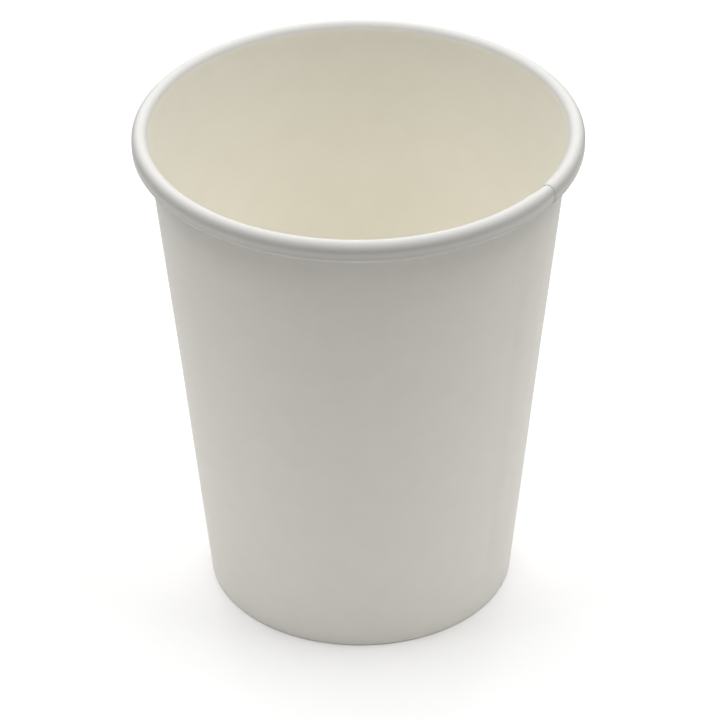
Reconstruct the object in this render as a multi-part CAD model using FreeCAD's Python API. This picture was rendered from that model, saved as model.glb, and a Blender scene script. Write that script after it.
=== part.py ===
import FreeCAD, Part
import math
import os

from FreeCAD import Vector

# Single-wall paper cup for a hot drink of about 240 ml, standing on its foot.
# Two pieces of coated board, in millimetres: the cup's axis is Z, the table is Z = 0 and +Z is up.
#   side_wall  a cone with a rolled rim, a lapped side seam and a hem folded in and up at the foot
#   bottom     a disc with a skirt turned down, trapped between the wall and its hem

# The cup from outside
RIM_D = 80.0            # across the rolled rim
FOOT_D = 56.0           # across the foot, where the cone's outer face would meet the table
HEIGHT = 93.5           # from the table to the top of the rim

# The side wall's board
WALL_T = 0.36           # thickness of the board
CURL_W = 3.0            # rolled rim, side to side
CURL_SIDE = 1.15        # rolled rim, straight run down its outer side between the upper and lower arcs
CURL_GAP = 0.10         # left between the lapped wall and the board's edge tucked inside the roll
CURL_TAIL = 0.9         # straight end of the board inside the roll
FOLD_R = 0.04           # inside radius of the two creases at the foot

# The side seam: the sheet's last stretch steps outwards over its first stretch
SEAM_AZ = -32.0         # direction of the edge that shows inside the cup, in degrees from +X
SEAM_LAP = 5.8          # lap, measured round the cup at half its height
SEAM_RAMP = 4.6         # stretch in which the sheet climbs over the edge, measured the same way
SEAM_PRESS = 6.0        # height in which the lap is pressed flat above the hem
RIM_CRUSH = 0.25        # what the lap loses of its thickness where it is rolled with the rim
RIM_EASE = 5.0          # length of wall below the rim in which the lap gets it back

# The bottom
BOTTOM_T = 0.28         # thickness of the board
RECESS = 8.0            # from the table to the underside of the disc
BOTTOM_BEND_R = 0.5     # inside radius of the bend from disc to skirt
HEM_CLEAR = 0.9         # left between the hem's top edge and the disc
SKIRT_CLEAR = 0.5       # left between the skirt's lower edge and the fold below it
SEAL_GAP = 0.02         # coating between the skirt and the board on each side of it

# Worked out from the sizes above
RIM_R = RIM_D / 2
FOOT_R = FOOT_D / 2
MID_R = (RIM_R + FOOT_R) / 2
HALF_T = WALL_T / 2
LAP_DEG = math.degrees(SEAM_LAP / MID_R)
RAMP_DEG = math.degrees(SEAM_RAMP / MID_R)
RAMP_STEPS = max(2, math.ceil(RAMP_DEG))    # flat steps of about a degree that follow the cup's curve


def direction(degrees):
    """Unit vector in the XZ plane, where X is the distance from the cup's axis."""
    return Vector(math.cos(math.radians(degrees)), 0, math.sin(math.radians(degrees)))


class Sheet:
    """The middle line of a sheet's section, as straight runs and tangent arcs.

    Each run keeps its two ends, the headings there and, for an arc, its middle. Left of the line is the
    side that `lift` raises.
    """

    def __init__(self, start, heading):
        self.point = start
        self.heading = heading
        self.runs = []

    def line(self, length):
        end = self.point + direction(self.heading) * length
        self.runs.append((self.point, end, self.heading, self.heading, None))
        self.point = end

    def arc(self, radius, turn):
        side = 90 if turn > 0 else -90
        centre = self.point + direction(self.heading + side) * radius
        middle = centre - direction(self.heading + turn / 2 + side) * radius
        end = centre - direction(self.heading + turn + side) * radius
        self.runs.append((self.point, end, self.heading, self.heading + turn, middle))
        self.point = end
        self.heading += turn

    def even(self, lift):
        """The same lift at every end of a run."""
        return [lift] * (len(self.runs) + 1)

    def edges(self, lift):
        """The line's edges moved to its left by lift[i] at the start of run i, and lift[i + 1] at its end."""
        edges = []
        for i, (start, end, heading, last_heading, middle) in enumerate(self.runs):
            a = start + direction(heading + 90) * lift[i]
            b = end + direction(last_heading + 90) * lift[i + 1]
            if middle is None:
                edges.append(Part.makeLine(a, b))
            else:
                m = middle + direction((heading + last_heading) / 2 + 90) * lift[i]
                edges.append(Part.Arc(a, m, b).toShape())
        return edges

    def outline(self, right, left):
        """Closed outline of the sheet between two lists of lifts."""
        near = self.edges(right)
        far = self.edges(left)
        near_ends = near[0].Vertexes[0].Point, near[-1].Vertexes[-1].Point
        far_ends = far[0].Vertexes[0].Point, far[-1].Vertexes[-1].Point
        far.reverse()
        last_cap = Part.makeLine(near_ends[1], far_ends[1])
        first_cap = Part.makeLine(far_ends[0], near_ends[0])
        return Part.Wire(near + [last_cap] + far + [first_cap])


def turned(shape, degrees):
    """A copy of the shape turned about the cup's axis."""
    copy = shape.copy()
    copy.rotate(Vector(0, 0, 0), Vector(0, 0, 1), degrees)
    return copy


def spun(wire, start, sweep):
    """The solid that an outline in the XZ plane leaves as it turns about the cup's axis."""
    face = turned(Part.Face(wire), start)
    return face.revolve(Vector(0, 0, 0), Vector(0, 0, 1), sweep)


# The cone: its outer face runs from the foot's edge to the inside of the rolled rim's top arc.
TOP_ARC_R = CURL_W / 2 - HALF_T
top_centre = Vector(RIM_R - CURL_W / 2, 0, HEIGHT - CURL_W / 2)
foot_edge = Vector(FOOT_R, 0, 0)
reach = top_centre - foot_edge
LEAN = 90 - math.degrees(math.atan2(reach.z, reach.x) + math.asin((TOP_ARC_R - HALF_T) / reach.Length))
outward = direction(-LEAN)
wall_point = foot_edge - outward * HALF_T


def from_wall(point):
    """How far a point lies outside the wall's middle line."""
    return (point - wall_point).dot(outward)


def on_wall(z, distance):
    """The point at height z that lies this far outside the wall's middle line."""
    base = wall_point + outward * distance
    return base + direction(90 - LEAN) * ((z - base.z) / math.cos(math.radians(LEAN)))


def side_wall_sheet():
    """The wall's section from the end tucked inside the rim, over the rim, down the cone and up the hem.

    Also how far the seam's second ply stands off the first at each end of a run.
    """
    # The lower arc of the roll turns back from its outer side and leaves room for the lap at the wall.
    side_end = Vector(RIM_R - HALF_T, 0, top_centre.z - CURL_SIDE)
    tuck = 2 * WALL_T + CURL_GAP
    low_arc_r = (from_wall(side_end) - tuck) / (1 + outward.x)
    low_centre = side_end - Vector(low_arc_r, 0, 0)

    # The foot is two creases with a flat between them, as wide as the skirt that it holds.
    fold_r = FOLD_R + HALF_T
    crease = on_wall(HALF_T + fold_r, -fold_r)
    hem_offset = WALL_T + BOTTOM_T + 2 * SEAL_GAP
    flat = (hem_offset - 2 * fold_r) / outward.x
    hem_top = on_wall(RECESS - HEM_CLEAR, -hem_offset)
    hem_start = crease - Vector(flat, 0, 0) - outward * fold_r

    wall_top = top_centre - outward * TOP_ARC_R
    press_top = on_wall(RECESS - HEM_CLEAR + SEAM_PRESS, 0)
    wall_end = crease + outward * fold_r

    sheet = Sheet(low_centre - outward * low_arc_r + direction(90 - LEAN) * CURL_TAIL, -90 - LEAN)
    sheet.line(CURL_TAIL)
    sheet.arc(low_arc_r, 180 + LEAN)
    sheet.line(CURL_SIDE)
    sheet.arc(TOP_ARC_R, 180 - LEAN)
    rim_ends = len(sheet.runs) + 1
    sheet.line(RIM_EASE)
    sheet.line((wall_top - press_top).Length - RIM_EASE)
    lapped_ends = len(sheet.runs) + 1
    sheet.line((press_top - wall_end).Length)
    sheet.arc(fold_r, LEAN - 90)
    sheet.line(flat)
    sheet.arc(fold_r, -90 - LEAN)
    sheet.line((hem_top - hem_start).Length)

    # The second ply rides on the wall's outer face down to the stretch that is pressed flat.
    ply = [WALL_T - RIM_CRUSH] * rim_ends + [WALL_T] * (lapped_ends - rim_ends)
    ply += [0] * (len(sheet.runs) + 1 - lapped_ends)
    return sheet, ply


def side_wall():
    """The wrapped sheet: one ply all round, two in the lap, and a ramp where it climbs onto itself."""
    sheet, ply = side_wall_sheet()

    def section(inner_rise, outer_rise):
        """The outline with its inner and outer faces raised by these shares of one ply."""
        inner = [inner_rise * step - HALF_T for step in ply]
        outer = [outer_rise * step + HALF_T for step in ply]
        return sheet.outline(inner, outer)

    body = spun(section(0, 0), LAP_DEG, 360 - LAP_DEG - RAMP_DEG)
    lap = spun(section(0, 1), 0, LAP_DEG)
    climb = []
    for i in range(RAMP_STEPS + 1):
        share = i / RAMP_STEPS
        rise = share * share * (3 - 2 * share)
        climb.append(turned(section(rise, rise), (share - 1) * RAMP_DEG))
    ramp = Part.makeLoft(climb, True, True)
    return turned(body.fuse([lap, ramp]), SEAM_AZ)


def bottom():
    """The disc and its skirt, parallel to the wall between the wall and the hem."""
    half = BOTTOM_T / 2
    bend_r = BOTTOM_BEND_R + half
    skirt_line = -(HALF_T + SEAL_GAP + half)
    bend = on_wall(RECESS + half - bend_r, skirt_line - bend_r)
    skirt_start = bend + outward * bend_r
    skirt_end = on_wall(WALL_T + SKIRT_CLEAR, skirt_line)

    sheet = Sheet(Vector(0, 0, RECESS + half), 0)
    sheet.line(bend.x)
    sheet.arc(bend_r, -90 - LEAN)
    sheet.line((skirt_start - skirt_end).Length)
    return spun(sheet.outline(sheet.even(-half), sheet.even(half)), 0, 360)


os.makedirs("parts", exist_ok=True)
for name, make in (("side_wall", side_wall), ("bottom", bottom)):
    shape = make()
    shape.exportStep("parts/" + name + ".step")
    box = shape.BoundBox
    print(name, "solids", len(shape.Solids), "valid", shape.isValid(), "volume", round(shape.Volume, 2),
          "box", [round(v, 3) for v in (box.XMin, box.YMin, box.ZMin, box.XMax, box.YMax, box.ZMax)])
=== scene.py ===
# %% [markdown]
# A paper cup for a hot drink, rebuilt as it is made.
# The solids come first: they hold the cup's true size, and nothing here moves or resizes them. This lesson
# gives the cup its looks: the board's fibre and coating, the raw cut edges, the soft light of a white table.
# Everything is in metres, with the cup's axis on Z and the table at height zero.

# %% Load the cup's solids
import math

import bmesh
import bpy
from mathutils import Matrix, Vector


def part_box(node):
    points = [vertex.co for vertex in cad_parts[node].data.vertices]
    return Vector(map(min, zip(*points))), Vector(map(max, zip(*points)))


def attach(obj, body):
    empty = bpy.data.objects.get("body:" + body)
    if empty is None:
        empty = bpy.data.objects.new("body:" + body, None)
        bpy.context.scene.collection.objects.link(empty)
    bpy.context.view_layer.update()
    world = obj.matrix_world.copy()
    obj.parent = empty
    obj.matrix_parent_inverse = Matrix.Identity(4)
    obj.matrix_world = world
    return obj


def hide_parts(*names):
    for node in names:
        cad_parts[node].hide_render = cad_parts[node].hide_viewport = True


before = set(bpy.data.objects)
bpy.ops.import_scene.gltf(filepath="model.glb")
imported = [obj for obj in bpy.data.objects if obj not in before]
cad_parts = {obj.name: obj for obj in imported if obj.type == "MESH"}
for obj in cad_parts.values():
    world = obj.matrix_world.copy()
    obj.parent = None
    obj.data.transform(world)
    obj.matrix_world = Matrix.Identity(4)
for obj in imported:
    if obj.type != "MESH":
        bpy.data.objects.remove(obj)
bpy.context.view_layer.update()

# %% [markdown]
# The cup is two pieces of coated board. The side wall is one fan-shaped blank, wrapped into a cone, lapped
# at a side seam, rolled outwards at the rim and folded in and up at the foot. The bottom is a disc whose
# skirt is trapped between the wall and its hem. Only the sizes that the solids' boxes can't tell are written
# here.

# %% Sizes of the cup
MM = 0.001
RIM_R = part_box("side_wall")[1].x
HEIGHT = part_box("side_wall")[1].z
FOOT_R = 28.0 * MM              # the cone's outer face, carried down to the table
WALL_T = 0.36 * MM              # side wall's board
CURL_W = 3.0 * MM               # rolled rim, side to side
CURL_SIDE = 1.15 * MM           # straight run down the roll's outer side
CURL_GAP = 0.10 * MM            # left between the lapped wall and the end tucked inside the roll
CURL_TAIL = 0.9 * MM            # that end's straight length
FOLD_R = 0.04 * MM              # inside radius of the foot's two creases
SEAM_AZ = math.radians(-32.0)   # the seam's edge that shows inside, from +X
SEAM_LAP = 5.8 * MM             # lap, measured round the cup at half its height
SEAM_RAMP = 4.6 * MM            # stretch in which the board climbs onto itself
SEAM_PRESS = 6.0 * MM           # height in which the lap is pressed flat above the hem
RIM_CRUSH = 0.25 * MM           # what the lap loses of its thickness where it is rolled with the rim
RIM_EASE = 5.0 * MM             # length of wall below the rim in which the lap gets it back
SEAM_HAIR = 0.004 * MM          # half of the hairline between the two plies
EDGE_ROUND = 0.5                # share of a ply's thickness that sealing rounds off its cut edge
BOTTOM_T = 0.28 * MM            # bottom's board
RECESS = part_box("bottom")[1].z - BOTTOM_T
BEND_R = 0.5 * MM               # inside radius of the bend from disc to skirt
HEM_CLEAR = 0.9 * MM            # left between the hem's cut edge and the disc
SKIRT_CLEAR = 0.5 * MM          # left between the skirt's cut edge and the fold
SEAL_GAP = 0.02 * MM            # coating on each side of the skirt
HALF_T = WALL_T / 2
MID_R = (RIM_R + FOOT_R) / 2
print("rim radius", round(RIM_R / MM, 2), "height", round(HEIGHT / MM, 2), "recess", round(RECESS / MM, 2))

# %% [markdown]
# A sheet bent in one direction is fully told by its section: the middle line of the board, seen from the
# side, as straight runs and tangent arcs. A short walker draws it. It also keeps the direction across the
# board at each point, so that both faces can be found later by stepping half a board to either side.

# %% A walker that draws a bent sheet's section


def heading(degrees):
    """Unit vector in the plane of the section: x is the distance from the axis, z is the height."""
    return Vector((math.cos(math.radians(degrees)), 0, math.sin(math.radians(degrees))))


class SectionLine:
    """Points along a board's middle line, with the direction to the left and the lap's press at each."""

    def __init__(self, start, degrees, press=0.0):
        self.degrees = degrees
        self.points = [start]
        self.sides = [heading(degrees + 90)]
        self.press = [press]

    def add(self, point, press):
        self.points.append(point)
        self.sides.append(heading(self.degrees + 90))
        self.press.append(press)

    def run(self, length, parts=1, press=None):
        """A straight run, over which the press changes evenly to the one given."""
        first = self.press[-1]
        change = 0.0 if press is None else press - first
        step = heading(self.degrees) * (length / parts)
        for i in range(parts):
            self.add(self.points[-1] + step, first + change * (i + 1) / parts)

    def bend(self, radius, turn, parts):
        """A tangent arc: to the left if turn is positive."""
        side = 90 if turn > 0 else -90
        centre = self.points[-1] + heading(self.degrees + side) * radius
        for _ in range(parts):
            self.degrees += turn / parts
            self.add(centre - heading(self.degrees + side) * radius, self.press[-1])

    def lengths(self):
        """How far along the line each point lies."""
        steps = [(b - a).length for a, b in zip(self.points, self.points[1:])]
        return [sum(steps[:i]) for i in range(len(self.points))]


# %% [markdown]
# The cone has to touch two things: the foot's edge on the table and the inside of the rolled rim's upper arc.
# A tangent from a point to a circle gives its lean. Everything else is measured from that one line.

# %% The cone's line
top_arc_r = CURL_W / 2 - HALF_T
top_centre = Vector((RIM_R - CURL_W / 2, 0, HEIGHT - CURL_W / 2))
reach = top_centre - Vector((FOOT_R, 0, 0))
LEAN = 90 - math.degrees(math.atan2(reach.z, reach.x) + math.asin((top_arc_r - HALF_T) / reach.length))
outward = heading(-LEAN)
upward = heading(90 - LEAN)
wall_point = Vector((FOOT_R, 0, 0)) - outward * HALF_T
print("the wall leans", round(LEAN, 3), "degrees")


def on_wall(z, distance):
    """The point at height z that lies this far outside the wall's middle line."""
    base = wall_point + outward * distance
    return base + upward * ((z - base.z) / upward.z)


# %% [markdown]
# The wall's section starts at the end tucked inside the roll, goes round the rim, down the cone, round the
# foot's two creases and up the hem. The long cone gets rows of points too, so that it can be a little uneven
# as real board is.

# %% The side wall's section
ROWS_SHORT = 2                  # steps in the tucked end, and in the roll's straight side
ROWS_ARC = 20                   # in each of the roll's two arcs
ROWS_EASE = 6
ROWS_CONE = 32
ROWS_PRESS = 8
ROWS_CREASE = 6
ROWS_HEM = 5
CLOSE = 0.001 * MM              # a point nearer than this lies on the line that it is compared with


def wall_section():
    """The side wall's middle line, and how free the board is to give at each of its points."""
    side_end = Vector((RIM_R - HALF_T, 0, top_centre.z - CURL_SIDE))
    tuck = 2 * WALL_T + CURL_GAP
    low_arc_r = ((side_end - wall_point).dot(outward) - tuck) / (1 + outward.x)
    low_centre = side_end - Vector((low_arc_r, 0, 0))
    fold_r = FOLD_R + HALF_T
    crease = on_wall(HALF_T + fold_r, -fold_r)
    hem_offset = WALL_T + BOTTOM_T + 2 * SEAL_GAP
    flat = (hem_offset - 2 * fold_r) / outward.x
    hem_top = on_wall(RECESS - HEM_CLEAR, -hem_offset)
    hem_start = crease - Vector((flat, 0, 0)) - outward * fold_r
    wall_top = top_centre - outward * top_arc_r
    eased = wall_top - upward * RIM_EASE
    press_top = on_wall(RECESS - HEM_CLEAR + SEAM_PRESS, 0)
    wall_end = crease + outward * fold_r

    line = SectionLine(low_centre - outward * low_arc_r + upward * CURL_TAIL, -90 - LEAN, RIM_CRUSH / WALL_T)
    line.run(CURL_TAIL, ROWS_SHORT)
    line.bend(low_arc_r, 180 + LEAN, ROWS_ARC)
    line.run(CURL_SIDE, ROWS_SHORT)
    line.bend(top_arc_r, 180 - LEAN, ROWS_ARC)
    line.run(RIM_EASE, ROWS_EASE, press=0)
    line.run((eased - press_top).length, ROWS_CONE)
    line.run((press_top - wall_end).length, ROWS_PRESS, press=1)
    line.bend(fold_r, LEAN - 90, ROWS_CREASE)
    line.run(flat)
    line.bend(fold_r, -90 - LEAN, ROWS_CREASE)
    line.run((hem_top - hem_start).length, ROWS_HEM)
    heights = [(point.z - press_top.z) / (eased.z - press_top.z) for point in line.points]
    slack = [math.sin(math.pi * min(max(share, 0), 1)) ** 2 for share in heights]
    return line, slack


wall_line, wall_slack = wall_section()
wall_places = list(zip(wall_line.lengths(), wall_line.points))
roll_side = next(length for length, point in wall_places if point.x > RIM_R - HALF_T - CLOSE)
roll_end = next(length for length, point in wall_places if (point - wall_point).dot(outward) < CLOSE)
print("side wall's section:", len(wall_line.points), "points")
print("the roll takes the sheet's first", round(roll_end / MM, 2), "mm")

# %% [markdown]
# Geometry Nodes will do the wrapping, and node trees are easier to read when the plumbing is out of the way.
# One helper adds a node, sets its properties and fills its inputs with values or with other nodes' sockets.
# It serves the shaders as well.

# %% Helpers for node trees


def node(tree, kind, inputs=None, **settings):
    """Add a node, set its properties, then give its inputs values or link sockets to them."""
    made = tree.nodes.new(kind)
    for name, value in settings.items():
        setattr(made, name, value)
    for key, value in (inputs or {}).items():
        if isinstance(value, bpy.types.NodeSocket):
            tree.links.new(value, made.inputs[key])
        else:
            made.inputs[key].default_value = value
    return made


def sums(tree, operation, *values):
    """The result of a Math node."""
    return node(tree, "ShaderNodeMath", dict(enumerate(values)), operation=operation).outputs[0]


def spread(tree, value, start, end, low=0.0, high=1.0, kind="LINEAR"):
    """The value, mapped from start..end to low..high and held there outside it."""
    inputs = {"Value": value, "From Min": start, "From Max": end, "To Min": low, "To Max": high}
    return node(tree, "ShaderNodeMapRange", inputs, interpolation_type=kind).outputs[0]


def between(tree, share, a, b):
    """The number that lies this share of the way from a to b."""
    return node(tree, "ShaderNodeMix", {"Factor": share, "A": a, "B": b}).outputs[0]


def new_tree(name, inputs, outputs, kind="GeometryNodeTree"):
    """A node group with its sockets, and the nodes at its two ends."""
    tree = bpy.data.node_groups.new(name, kind)
    for direction, sockets in (("INPUT", inputs), ("OUTPUT", outputs)):
        for label, socket_type, *default in sockets:
            socket = tree.interface.new_socket(label, in_out=direction, socket_type=socket_type)
            if default:
                socket.default_value = default[0]
    return tree, tree.nodes.new("NodeGroupInput").outputs, tree.nodes.new("NodeGroupOutput").inputs


# %% [markdown]
# The wrap. A spin would close the ring and lose the seam, so the wall is made as the factory makes it: a long
# strip, one section wide, that goes once round and a lap further. The angle along the strip decides
# everything. The first few degrees are the ply inside the lap. Then comes the body. In the ramp the board
# climbs by its own thickness, and the last few degrees lie on top of the first.
# Each point of a grid looks up its place in the section and its angle, then both faces are found by stepping
# to either side of the middle line. Extruding the inner face makes the cut edges at no extra cost.

# %% The tree that wraps a blank into a cup
RELIEF = math.radians(0.3)      # stretch beside the lap's outer edge in which the lower ply is whole again
WAVE_SCALE = 2.2                # of the noise that makes the board uneven
WAVE_RISE = 25.0                # how fast that noise changes with height
LIFT_OFF = 0.01 * MM            # parts the two faces of the board until the outer one is put in its place
WELD = 1e-4 * MM                # points nearer than this become one
SHARP = math.radians(50)        # where faces meet at more than this, the edge between them is a sharp one


def wrap_tree():
    """Geometry Nodes: a section line becomes a lapped, rolled and folded wall."""
    tree, given, result = new_tree("Wrap the blank", [
        ("Section", "NodeSocketGeometry"),
        ("Board", "NodeSocketFloat"),
        ("Lap Angle", "NodeSocketFloat"),
        ("Ramp Angle", "NodeSocketFloat"),
        ("Seam Azimuth", "NodeSocketFloat"),
        ("Hairline", "NodeSocketFloat"),
        ("Edge Rounding", "NodeSocketFloat"),
        ("Lap Steps", "NodeSocketInt"),
        ("Body Steps", "NodeSocketInt"),
        ("Ramp Steps", "NodeSocketInt"),
        ("Unevenness", "NodeSocketFloat"),
        ("Sheet Radius", "NodeSocketFloat"),
        ("Outside", "NodeSocketMaterial"),
        ("Inside", "NodeSocketMaterial"),
        ("Cut Edge", "NodeSocketMaterial"),
    ], [("Wall", "NodeSocketGeometry")])
    section, board, hair = given["Section"], given["Board"], given["Hairline"]
    lap, ramp = given["Lap Angle"], given["Ramp Angle"]
    lap_steps, body_steps, ramp_steps = given["Lap Steps"], given["Body Steps"], given["Ramp Steps"]

    # One row of the grid for each step round the cup, one column for each point of the section.
    count = node(tree, "GeometryNodeAttributeDomainSize", {"Geometry": section}).outputs["Point Count"]
    relief_end = sums(tree, "ADD", lap_steps, 1.0)
    body_end = sums(tree, "ADD", relief_end, body_steps)
    ramp_end = sums(tree, "ADD", body_end, ramp_steps)
    last = sums(tree, "ADD", ramp_end, lap_steps)
    rows = sums(tree, "ADD", last, 1.0)
    grid = node(tree, "GeometryNodeMeshGrid", {"Vertices X": rows, "Vertices Y": count}).outputs["Mesh"]
    grid = node(tree, "GeometryNodeFlipFaces", {"Mesh": grid}).outputs[0]
    index = tree.nodes.new("GeometryNodeInputIndex").outputs[0]
    step = sums(tree, "FLOOR", sums(tree, "DIVIDE", sums(tree, "ADD", index, 0.5), count))
    column = sums(tree, "SUBTRACT", index, sums(tree, "MULTIPLY", step, count))

    # The angle along the strip: close steps in the lap, the ramp and the relief beside the lap's edge.
    body = sums(tree, "SUBTRACT", sums(tree, "SUBTRACT", 2 * math.pi - RELIEF, lap), ramp)
    angle = spread(tree, step, 0.0, lap_steps, 0.0, lap)
    for start, end, width in ((lap_steps, relief_end, RELIEF), (relief_end, body_end, body),
                              (body_end, ramp_end, ramp), (ramp_end, last, lap)):
        angle = sums(tree, "ADD", angle, spread(tree, step, start, end, 0.0, width))
    climb = spread(tree, step, body_end, ramp_end, kind="SMOOTHSTEP")
    restored = spread(tree, step, lap_steps, relief_end)

    def looked_up(value, kind):
        """What the section says at this column."""
        inputs = {"Geometry": section, "Value": value, "Index": column}
        return node(tree, "GeometryNodeSampleIndex", inputs, data_type=kind).outputs[0]

    def attribute(name, kind):
        """A value stored under a name."""
        return node(tree, "GeometryNodeInputNamedAttribute", {"Name": name}, data_type=kind).outputs[0]

    middle = looked_up(tree.nodes.new("GeometryNodeInputPosition").outputs[0], "FLOAT_VECTOR")
    side = looked_up(attribute("side", "FLOAT_VECTOR"), "FLOAT_VECTOR")
    press = looked_up(attribute("press", "FLOAT"), "FLOAT")
    slack = looked_up(attribute("slack", "FLOAT"), "FLOAT")
    loose = sums(tree, "SUBTRACT", 1.0, press)

    # Half a board to each side, a whole board further out on top of the lap, and half as thick where pressed.
    half = sums(tree, "MULTIPLY", board, 0.5)
    plane = sums(tree, "MULTIPLY", half, loose)
    under = sums(tree, "SUBTRACT", plane, hair)
    over = sums(tree, "ADD", plane, hair)
    top = sums(tree, "MULTIPLY_ADD", board, loose, half)
    inner_lift = between(tree, climb, sums(tree, "MULTIPLY", half, -1.0), over)
    outer_lift = between(tree, climb, between(tree, restored, under, half), top)

    # The hot jaw that seals the lap rounds the two cut edges that show: the first row's and the last one's.
    rounding = sums(tree, "MULTIPLY", sums(tree, "ADD", half, under), given["Edge Rounding"])
    at_first = spread(tree, step, 0.0, 1.0, 1.0, 0.0)
    at_last = spread(tree, step, sums(tree, "SUBTRACT", last, 1.0), last)
    inner_lift = sums(tree, "MULTIPLY_ADD", rounding, at_first, inner_lift)
    outer_lift = sums(tree, "SUBTRACT", outer_lift, sums(tree, "MULTIPLY", rounding, at_last))

    # Real board is never quite even: a slow noise pulls it in, by a tenth of a millimetre at most.
    turned = sums(tree, "ADD", angle, given["Seam Azimuth"])
    cos, sin = sums(tree, "COSINE", turned), sums(tree, "SINE", turned)
    parts = node(tree, "ShaderNodeSeparateXYZ", {0: middle}).outputs
    rise = sums(tree, "MULTIPLY", parts[2], WAVE_RISE)
    around = node(tree, "ShaderNodeCombineXYZ", {"X": cos, "Y": sin, "Z": rise}).outputs[0]
    waves = node(tree, "ShaderNodeTexNoise", {"Vector": around, "Scale": WAVE_SCALE, "Detail": 2.0})
    pull = sums(tree, "MULTIPLY", waves.outputs[0], sums(tree, "MULTIPLY", slack, given["Unevenness"]))

    def face(lift):
        """Where a face of the board lies, turned to its angle."""
        lifts = node(tree, "ShaderNodeCombineXYZ", {"X": lift, "Y": lift, "Z": lift}).outputs[0]
        moved = node(tree, "ShaderNodeVectorMath", {0: side, 1: lifts, 2: middle}, operation="MULTIPLY_ADD")
        x, _, z = node(tree, "ShaderNodeSeparateXYZ", {0: moved.outputs[0]}).outputs
        radius = sums(tree, "SUBTRACT", x, pull)
        east = sums(tree, "MULTIPLY", radius, cos)
        north = sums(tree, "MULTIPLY", radius, sin)
        return node(tree, "ShaderNodeCombineXYZ", {"X": east, "Y": north, "Z": z}).outputs[0]

    def noted(geometry, name, value, kind="FLOAT_VECTOR", domain="POINT", selection=True):
        """The geometry with a value stored on its points or faces."""
        inputs = {"Geometry": geometry, "Name": name, "Value": value, "Selection": selection}
        return node(tree, "GeometryNodeStoreNamedAttribute", inputs, data_type=kind, domain=domain).outputs[0]

    # The grid keeps the outer face's place, and its own place on the flat sheet for the finishes.
    across = looked_up(attribute("length", "FLOAT"), "FLOAT")
    round_cup = sums(tree, "MULTIPLY", angle, given["Sheet Radius"])
    sheet = node(tree, "ShaderNodeCombineXYZ", {"X": round_cup, "Y": across}).outputs[0]
    keep = noted(noted(grid, "outer_at", face(outer_lift)), "sheet", sheet)

    # The inner face, then the board's thickness by extruding it, and the cut edges with it.
    inner = node(tree, "GeometryNodeSetPosition", {"Geometry": keep, "Position": face(inner_lift)}).outputs[0]
    shell = node(tree, "GeometryNodeExtrudeMesh",
                 {"Mesh": inner, "Offset Scale": LIFT_OFF, "Individual": False}, mode="FACES").outputs
    outer = node(tree, "GeometryNodeSetPosition", {
        "Geometry": shell["Mesh"], "Selection": shell["Top"],
        "Position": attribute("outer_at", "FLOAT_VECTOR")}).outputs[0]

    # Each face is told which finish it takes: 1 outside, 2 inside, 3 cut edge.
    outer = noted(outer, "finish", 1, "INT", "FACE", shell["Top"])
    outer = noted(outer, "finish", 3, "INT", "FACE", shell["Side"])
    inner = noted(inner, "finish", 2, "INT", "FACE")
    flipped = node(tree, "GeometryNodeFlipFaces", {"Mesh": inner}).outputs[0]
    joined = tree.nodes.new("GeometryNodeJoinGeometry")
    tree.links.new(flipped, joined.inputs[0])
    tree.links.new(outer, joined.inputs[0])
    merged = node(tree, "GeometryNodeMergeByDistance", {"Geometry": joined.outputs[0], "Distance": WELD})
    bare = node(tree, "GeometryNodeRemoveAttribute", {"Geometry": merged.outputs[0], "Name": "outer_at"})

    # Smooth along the board, sharp at its cut edges.
    smooth = node(tree, "GeometryNodeSetShadeSmooth", {"Geometry": bare.outputs[0]}).outputs[0]
    bend = tree.nodes.new("GeometryNodeInputMeshEdgeAngle").outputs["Unsigned Angle"]
    sharp = node(tree, "FunctionNodeCompare", {"A": bend, "B": SHARP}, operation="GREATER_THAN")
    crisp = node(tree, "GeometryNodeSetShadeSmooth",
                 {"Geometry": smooth, "Selection": sharp.outputs[0], "Shade Smooth": False}, domain="EDGE")

    real = node(tree, "GeometryNodeRealizeInstances", {"Geometry": crisp.outputs[0]}).outputs[0]
    done = node(tree, "GeometryNodeSetMaterial", {"Geometry": real, "Material": given["Outside"]}).outputs[0]
    for kind, label in ((2, "Inside"), (3, "Cut Edge")):
        chosen = node(tree, "FunctionNodeCompare", {"A": attribute("finish", "INT"), "B": kind},
                      data_type="INT", operation="EQUAL").outputs[0]
        done = node(tree, "GeometryNodeSetMaterial",
                    {"Geometry": done, "Selection": chosen, "Material": given[label]}).outputs[0]
    tree.links.new(done, result[0])
    return tree


blank_to_cup = wrap_tree()
print(blank_to_cup.name, "has", len(blank_to_cup.nodes), "nodes")

# %% [markdown]
# Paper board under a soft light looks flat until it is seen close by. Then there are two things to see. The
# pulp settles in clouds a few millimetres wide, a little lighter and a little darker. Over them lie the
# fibres, mostly along the direction in which the board was made. Every face of this cup has both, so they are
# one shader group, and each material sets its own scale and strength.

# %% A group for the board's clouds and fibres
CLOUD_SIZE = 5 * MM
FIBRE_SIZE = (1.4 * MM, 0.16 * MM)
CROSS_FIBRES = 0.6              # relief of the fibres that lie across the others


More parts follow.
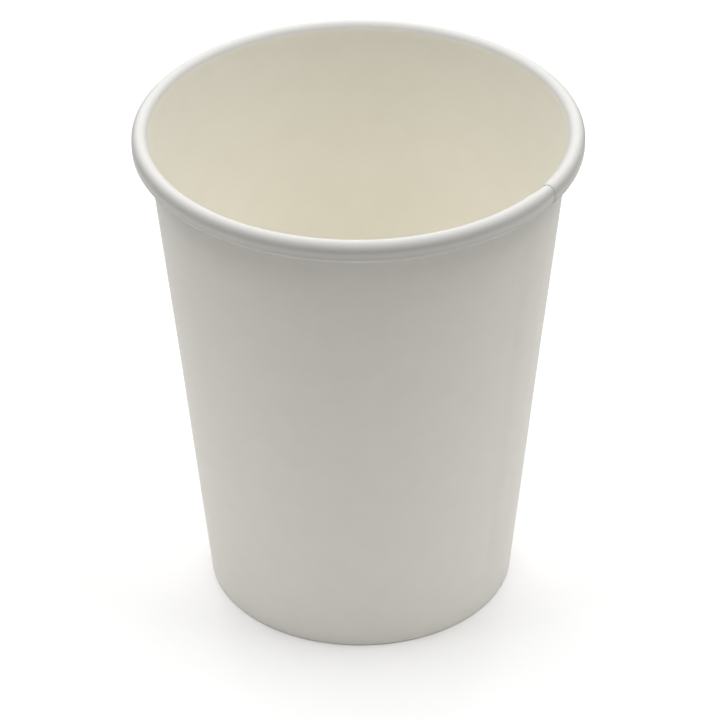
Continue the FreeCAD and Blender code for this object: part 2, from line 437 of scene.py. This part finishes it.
def board_grain():
    """Shader group: the slow clouds of the pulp and the relief of its fibres."""
    tree, given, result = new_tree("Board grain", [
        ("Vector", "NodeSocketVector"),
        ("Cloud Size", "NodeSocketFloat", CLOUD_SIZE),
        ("Fibre Length", "NodeSocketFloat", FIBRE_SIZE[0]),
        ("Fibre Width", "NodeSocketFloat", FIBRE_SIZE[1]),
    ], [("Clouds", "NodeSocketFloat"), ("Fibres", "NodeSocketFloat")], "ShaderNodeTree")

    def scaled(x, y, z):
        """The place, counted in these sizes along the three directions."""
        sizes = node(tree, "ShaderNodeCombineXYZ", {"X": x, "Y": y, "Z": z}).outputs[0]
        shared = node(tree, "ShaderNodeVectorMath", {0: given["Vector"], 1: sizes}, operation="DIVIDE")
        return shared.outputs[0]

    def noise(vector, **settings):
        """A noise texture with inputs of its own."""
        return node(tree, "ShaderNodeTexNoise", {"Vector": vector, **settings}).outputs[0]

    size, length, width = given["Cloud Size"], given["Fibre Length"], given["Fibre Width"]
    slow = noise(scaled(size, size, size), Scale=1.0, Detail=3.0, Roughness=0.55)
    tree.links.new(slow, result["Clouds"])
    along = noise(scaled(length, width, width), Scale=1.0, Detail=2.0, Distortion=0.6)
    across = noise(scaled(width, length, width), Scale=0.7, Detail=2.0, Distortion=0.6)
    tree.links.new(sums(tree, "MULTIPLY_ADD", across, CROSS_FIBRES, along), result["Fibres"])
    return tree


BOARD_GRAIN = board_grain()
outlets = [item.name for item in BOARD_GRAIN.interface.items_tree if item.in_out == "OUTPUT"]
print(BOARD_GRAIN.name, "puts out", outlets)

# %% [markdown]
# A finish needs a colour that wanders a little about its mean, and a gloss that does the same. A second group
# does it: it turns a mask into a colour between a darker and a lighter one, and into a roughness.

# %% A group that lets a mask vary colour and gloss
MASK_LOW = 0.3                  # a noise seldom leaves these two bounds
MASK_HIGH = 0.7


def varied_finish():
    """Shader group: a colour and a roughness that follow a mask about their means."""
    tree, given, result = new_tree("Varied finish", [
        ("Mask", "NodeSocketFloat", 0.5),
        ("Colour", "NodeSocketColor"),
        ("Colour Change", "NodeSocketFloat", 0.02),
        ("Roughness", "NodeSocketFloat", 0.5),
        ("Roughness Change", "NodeSocketFloat", 0.05),
    ], [("Colour", "NodeSocketColor"), ("Roughness", "NodeSocketFloat")], "ShaderNodeTree")
    swing = spread(tree, given["Mask"], MASK_LOW, MASK_HIGH, -1.0, 1.0)
    gain = sums(tree, "MULTIPLY_ADD", swing, given["Colour Change"], 1.0)
    gains = node(tree, "ShaderNodeCombineXYZ", {"X": gain, "Y": gain, "Z": gain}).outputs[0]
    shade = node(tree, "ShaderNodeVectorMath", {0: given["Colour"], 1: gains}, operation="MULTIPLY")
    tree.links.new(shade.outputs[0], result["Colour"])
    gloss = sums(tree, "MULTIPLY_ADD", swing, given["Roughness Change"], given["Roughness"])
    tree.links.new(gloss, result["Roughness"])
    return tree


VARIED_FINISH = varied_finish()
print(VARIED_FINISH.name, "is ready")

# %% [markdown]
# The board has three finishes. Outside it is bare, calendered to a soft matt, and its fibres give it a faint
# sheen at a low angle. Inside it has a thin film of plastic, which fills the fibres and gives a faint gloss,
# and which goes over the rim with the board. On the roll the colour is painted shade: it turns grey on the
# roll's two bends, keeps part of the film's tone on the straight side between them, and is whole again where
# the roll ends. Where the board was cut, its raw core shows: open, rough and a little darker.
# One function makes all of them, because they differ only in numbers. What is the same all over a face is set
# on the shader's own sockets, so that an export can read it.

# %% The board's finishes
BARE_COLOUR = (0.824, 0.799, 0.733)
COATED_COLOUR = (0.86, 0.835, 0.75)
# painted shade on the rolled rim: the grey that the roll's bends take in place of the film's colour
ROLL_SHADE_COLOUR = (0.57, 0.563, 0.543)
CORE_COLOUR = (0.80, 0.765, 0.70)
CORE_FIBRES = (0.35 * MM, 0.05 * MM)
ROLL_SHADE_FADE = 0.8 * MM            # stretch before the roll's end in which the painted shade fades out
SIDE_SHADE_EASE = 0.5                 # share of the board's own colour that the painted shade leaves on the roll's straight side
BOARD_IOR = 1.47


def board_finish(name, colour, roughness, cloud, fibre_relief, gloss, coords="Object", sheen=0.0,
                 fibre_size=FIBRE_SIZE, roll_shade=None):
    """A material for one face of the board."""
    material = bpy.data.materials.new(name)
    material.use_nodes = True
    tree = material.node_tree
    tree.nodes.clear()
    if coords == "Object":
        vector = tree.nodes.new("ShaderNodeTexCoord").outputs["Object"]
    else:
        vector = node(tree, "ShaderNodeAttribute", attribute_name=coords).outputs["Vector"]
    grain = node(tree, "ShaderNodeGroup", node_tree=BOARD_GRAIN)
    tree.links.new(vector, grain.inputs["Vector"])
    grain.inputs["Fibre Length"].default_value, grain.inputs["Fibre Width"].default_value = fibre_size
    finish = node(tree, "ShaderNodeGroup", node_tree=VARIED_FINISH)
    tree.links.new(grain.outputs["Clouds"], finish.inputs["Mask"])
    finish.inputs["Colour"].default_value = (*colour, 1)
    # On the rolled rim the colour is painted shade: grey on the roll's two bends, part way back to the
    # board's own colour on its straight side, and none where the roll ends.
    if roll_shade:
        along = node(tree, "ShaderNodeSeparateXYZ", {0: vector}).outputs["Y"]
        below = sums(tree, "ABSOLUTE", sums(tree, "SUBTRACT", along, roll_side + CURL_SIDE / 3))
        on_side = spread(tree, below, 0.0, CURL_SIDE, SIDE_SHADE_EASE, 0.0, kind="SMOOTHSTEP")
        inside = spread(tree, along, roll_end - ROLL_SHADE_FADE, roll_end, kind="SMOOTHSTEP")
        ends = {0: sums(tree, "ADD", on_side, inside), 6: (*roll_shade, 1), 7: (*colour, 1)}
        blend = node(tree, "ShaderNodeMix", ends, data_type="RGBA")
        tree.links.new(blend.outputs[2], finish.inputs["Colour"])
    finish.inputs["Colour Change"].default_value = cloud
    finish.inputs["Roughness"].default_value = roughness
    bump = node(tree, "ShaderNodeBump", {
        "Height": grain.outputs["Fibres"], "Strength": 1.0, "Distance": fibre_relief})
    shader = node(tree, "ShaderNodeBsdfPrincipled", {
        "Base Color": finish.outputs["Colour"], "Roughness": finish.outputs["Roughness"],
        "Normal": bump.outputs[0], "IOR": BOARD_IOR, "Specular IOR Level": gloss, "Sheen Weight": sheen})
    node(tree, "ShaderNodeOutputMaterial", {"Surface": shader.outputs[0]})
    return material


BARE = {"colour": BARE_COLOUR, "roughness": 0.75, "cloud": 0.012, "fibre_relief": 0.006 * MM,
        "gloss": 0.22, "sheen": 0.15}
COATED = {"colour": COATED_COLOUR, "roughness": 0.50, "cloud": 0.010, "fibre_relief": 0.003 * MM,
          "gloss": 0.30}
CORE = {"colour": CORE_COLOUR, "roughness": 0.85, "cloud": 0.05, "fibre_relief": 0.02 * MM,
        "gloss": 0.25, "fibre_size": CORE_FIBRES}
bare_board = board_finish("bare_board", coords="sheet", **BARE)
coated_board = board_finish("coated_board", coords="sheet", roll_shade=ROLL_SHADE_COLOUR, **COATED)
cut_board = board_finish("cut_board", **CORE)
coated_disc = board_finish("coated_disc", **COATED)
bare_disc = board_finish("bare_disc", **BARE)
print("finishes:", [m.name for m in (bare_board, coated_board, cut_board, coated_disc, bare_disc)])

# %% [markdown]
# Now the wall itself. Its start is a bare line of points, the section, with what the tree needs to know at
# each point stored as attributes. The modifier's inputs are found by their labels, because Blender stores
# them under identifiers of its own. The evaluated result is taken as a plain mesh, and the modifier goes.

# %% The wrapped wall
LAP_STEPS = 14                  # steps round the cup in the lap, in its body and in the ramp
BODY_STEPS = 352
RAMP_STEPS = 12
UNEVEN = 0.12 * MM              # full swing of the unevenness


def section_object(name, line, **shares):
    """An object whose mesh is a section line with its attributes."""
    mesh = bpy.data.meshes.new(name)
    mesh.from_pydata(line.points, [(i, i + 1) for i in range(len(line.points) - 1)], [])
    across = mesh.attributes.new("side", "FLOAT_VECTOR", "POINT")
    across.data.foreach_set("vector", [value for side in line.sides for value in side])
    for label, values in shares.items():
        mesh.attributes.new(label, "FLOAT", "POINT").data.foreach_set("value", values)
    piece = bpy.data.objects.new(name, mesh)
    bpy.context.collection.objects.link(piece)
    return piece


def run_tree(piece, tree, **values):
    """Run a geometry tree on a piece and keep the result as its mesh."""
    modifier = piece.modifiers.new(tree.name, "NODES")
    modifier.node_group = tree
    for item in tree.interface.items_tree:
        label = item.name.replace(" ", "_").lower()
        if item.in_out == "INPUT" and label in values:
            modifier[item.identifier] = values[label]
    bpy.context.view_layer.update()
    evaluated = piece.evaluated_get(bpy.context.evaluated_depsgraph_get())
    mesh = bpy.data.meshes.new_from_object(evaluated)
    for i in reversed([i for i, material in enumerate(mesh.materials) if material is None]):
        mesh.materials.pop(index=i)
    piece.modifiers.clear()
    piece.data = mesh
    mesh.name = piece.name
    return piece


wall = section_object("wrapped_wall", wall_line, press=wall_line.press, slack=wall_slack,
                      length=wall_line.lengths())
run_tree(wall, blank_to_cup, board=WALL_T, lap_angle=SEAM_LAP / MID_R, ramp_angle=SEAM_RAMP / MID_R,
         seam_azimuth=SEAM_AZ, hairline=SEAM_HAIR, edge_rounding=EDGE_ROUND, lap_steps=LAP_STEPS,
         body_steps=BODY_STEPS, ramp_steps=RAMP_STEPS, unevenness=UNEVEN, sheet_radius=MID_R,
         outside=bare_board, inside=coated_board, cut_edge=cut_board)
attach(wall, "root")
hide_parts("side_wall")
print(wall.name, "has", len(wall.data.polygons), "faces and", len(wall.data.materials), "finishes")

# %% [markdown]
# The bottom is a disc of thinner board with its edge turned down. It has no seam, so a spin of its section is
# the plain way. Each point of the section becomes a ring of points, or one point where it lies on the axis,
# and polygons join each ring to the next. They are counted along the section, and the count tells which face
# of the board they lie on. Made in this order, all of them face outwards.

# %% The bottom
SPIN_STEPS = 288
DISC_ROWS = 12
BEND_ROWS = 12
SKIRT_ROWS = 3


def bottom_section():
    """The bottom's middle line, from the middle of the disc to the skirt's cut edge."""
    half = BOTTOM_T / 2
    bend_r = BEND_R + half
    skirt_line = -(HALF_T + SEAL_GAP + half)
    bend = on_wall(RECESS + half - bend_r, skirt_line - bend_r)
    skirt_start = bend + outward * bend_r
    skirt_end = on_wall(WALL_T + SKIRT_CLEAR, skirt_line)
    line = SectionLine(Vector((0, 0, RECESS + half)), 0)
    line.run(bend.x, DISC_ROWS)
    line.bend(bend_r, -90 - LEAN, BEND_ROWS)
    line.run((skirt_start - skirt_end).length, SKIRT_ROWS)
    return line


def spun_board(name, line, thickness, finishes):
    """A board's section spun about the axis, with its upper face, lower face and cut edge finished."""
    half = thickness / 2
    upper = [point + side * half for point, side in zip(line.points, line.sides)]
    lower = [point - side * half for point, side in zip(line.points, line.sides)]
    turns = [Matrix.Rotation(2 * math.pi * i / SPIN_STEPS, 3, "Z") for i in range(SPIN_STEPS)]
    shell = bmesh.new()
    rings = []
    for point in upper + lower[::-1]:
        if point.x < CLOSE:
            rings.append([shell.verts.new(point)] * SPIN_STEPS)
        else:
            rings.append([shell.verts.new(turn @ point) for turn in turns])

    # The stretch from the last upper point to the first lower one is the skirt's cut edge.
    cut = len(upper) - 1
    for i, (ring, following) in enumerate(zip(rings, rings[1:])):
        for k in range(SPIN_STEPS):
            corners = (ring[k - 1], following[k - 1], following[k], ring[k])
            face = shell.faces.new(list(dict.fromkeys(corners)))
            face.smooth = True
            face.material_index = 0 if i < cut else 1 if i > cut else 2

    mesh = bpy.data.meshes.new(name)
    shell.to_mesh(mesh)
    shell.free()
    for material in finishes:
        mesh.materials.append(material)
    mesh.set_sharp_from_angle(angle=SHARP)
    piece = bpy.data.objects.new(name, mesh)
    bpy.context.collection.objects.link(piece)
    return piece


disc = spun_board("base_disc", bottom_section(), BOTTOM_T, (coated_disc, bare_disc, cut_board))
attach(disc, "root")
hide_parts("bottom")
counts = [sum(face.material_index == i for face in disc.data.polygons) for i in range(3)]
print(disc.name, "has", counts, "faces on top, underneath and at its cut edge")

# %% [markdown]
# The cup stands on a white table. The table is only a stage: it catches the cup's soft shadow and throws
# light back up at the wall, which is what lights the cup's front here.

# %% The table
TABLE_R = 0.30
TABLE_SIDES = 96
TABLE_COLOUR = (0.92, 0.92, 0.92)
TABLE_ROUGHNESS = 0.8
TABLE_GLOSS = 0.2


def table_top():
    """A round white table, its top at height zero."""
    shell = bmesh.new()
    bmesh.ops.create_circle(shell, cap_ends=True, radius=TABLE_R, segments=TABLE_SIDES)
    mesh = bpy.data.meshes.new("table_top")
    shell.to_mesh(mesh)
    shell.free()
    material = bpy.data.materials.new("table_white")
    material.use_nodes = True
    shader = material.node_tree.nodes["Principled BSDF"]
    shader.inputs["Base Color"].default_value = (*TABLE_COLOUR, 1)
    shader.inputs["Roughness"].default_value = TABLE_ROUGHNESS
    shader.inputs["Specular IOR Level"].default_value = TABLE_GLOSS
    mesh.materials.append(material)
    piece = bpy.data.objects.new("table_top", mesh)
    bpy.context.collection.objects.link(piece)
    return piece


table_top()
print("table radius", TABLE_R)

# %% [markdown]
# White things on white need a table that glows. A sweep behind the cup and two strong boxes high at its sides
# light the table, the table lights the cup's front from below, and the front stays a shade darker than
# everything round it. The sweep is three soft boxes. One more hangs high in front, to open the shadow and to
# light the inside, and two weak ones stand low at the sides, so that the wall's edges turn a little brighter.
# The camera can't see the boxes. The world gives a weak even fill, and looks plain white to the camera only.

# %% Soft boxes and the world
CUP_MIDDLE = Vector((0, 0, HEIGHT / 2))
BOX_DISTANCE = 1.0
BOX_SIZE = 0.6
LOW_BOXES = 30                  # degrees above the table
BACK_BOXES = 35
HIGH_BOXES = 65
FILL = 0.02                     # strength of the world's even light


def softbox(name, azimuth, elevation, power):
    """A square light that looks at the cup, from degrees round it and above it, with a power in watts."""
    away = Matrix.Rotation(math.radians(azimuth), 3, "Z") @ heading(elevation)
    data = bpy.data.lights.new(name, "AREA")
    data.shape = "SQUARE"
    data.size = BOX_SIZE
    data.energy = power
    lamp = bpy.data.objects.new(name, data)
    lamp.location = CUP_MIDDLE + away * BOX_DISTANCE
    lamp.rotation_euler = away.to_track_quat("Z", "Y").to_euler()
    lamp.visible_camera = False
    bpy.context.collection.objects.link(lamp)
    return lamp


for name, azimuth, elevation, power in (
        ("back_left", 120, BACK_BOXES, 2.4),
        ("back_middle", 90, BACK_BOXES, 3.0),
        ("back_right", 60, BACK_BOXES, 1.9),
        ("high_left", 180, HIGH_BOXES, 4.9),
        ("high_right", 0, HIGH_BOXES, 4.95),
        ("high_front", -90, HIGH_BOXES, 2.35),
        ("low_left", 180, LOW_BOXES, 0.2),
        ("low_right", 0, LOW_BOXES, 0.6)):
    softbox(name, azimuth, elevation, power)


def studio_world(strength):
    """An even fill, with plain white behind everything that the camera sees."""
    world = bpy.data.worlds.new("studio")
    bpy.context.scene.world = world
    world.use_nodes = True
    tree = world.node_tree
    tree.nodes.clear()
    fill = node(tree, "ShaderNodeBackground", {"Color": (1, 1, 1, 1), "Strength": strength})
    white = node(tree, "ShaderNodeBackground", {"Color": (1, 1, 1, 1), "Strength": 1.0})
    seen = tree.nodes.new("ShaderNodeLightPath").outputs["Is Camera Ray"]
    mix = node(tree, "ShaderNodeMixShader", {0: seen, 1: fill.outputs[0], 2: white.outputs[0]})
    node(tree, "ShaderNodeOutputWorld", {"Surface": mix.outputs[0]})


studio_world(FILL)
bpy.context.scene.view_settings.view_transform = "Standard"

# %% [markdown]
# The photograph looks down on the cup from about a third of the way up, through a long lens: the far and
# the near side of the rim are almost the same width. The camera's place is worked out from its angle and its
# distance.

# %% The camera
LENS_MM = 205.2
SENSOR_MM = 36.0
NEAREST = 0.01                  # the camera sees nothing nearer than this
LOOK_DOWN = math.radians(33.42)
CAMERA_DISTANCE = 749.8 * MM
CAMERA_ROLL = math.radians(-0.39)
TARGET = Vector((0.04 * MM, 0, 44.13 * MM))


def photo_camera():
    """The camera at the photograph's angle."""
    data = bpy.data.cameras.new("photo_camera")
    data.lens = LENS_MM
    data.sensor_width = SENSOR_MM
    data.clip_start = NEAREST
    camera = bpy.data.objects.new("photo_camera", data)
    ahead = Vector((0, math.cos(LOOK_DOWN), -math.sin(LOOK_DOWN)))
    level = Matrix.Rotation(math.pi / 2 - LOOK_DOWN, 4, "X")
    rolled = level @ Matrix.Rotation(CAMERA_ROLL, 4, "Z")
    camera.matrix_world = Matrix.Translation(TARGET - ahead * CAMERA_DISTANCE) @ rolled
    bpy.context.collection.objects.link(camera)
    return camera


bpy.context.scene.camera = photo_camera()
print("camera at", [round(v, 3) for v in bpy.context.scene.camera.location])
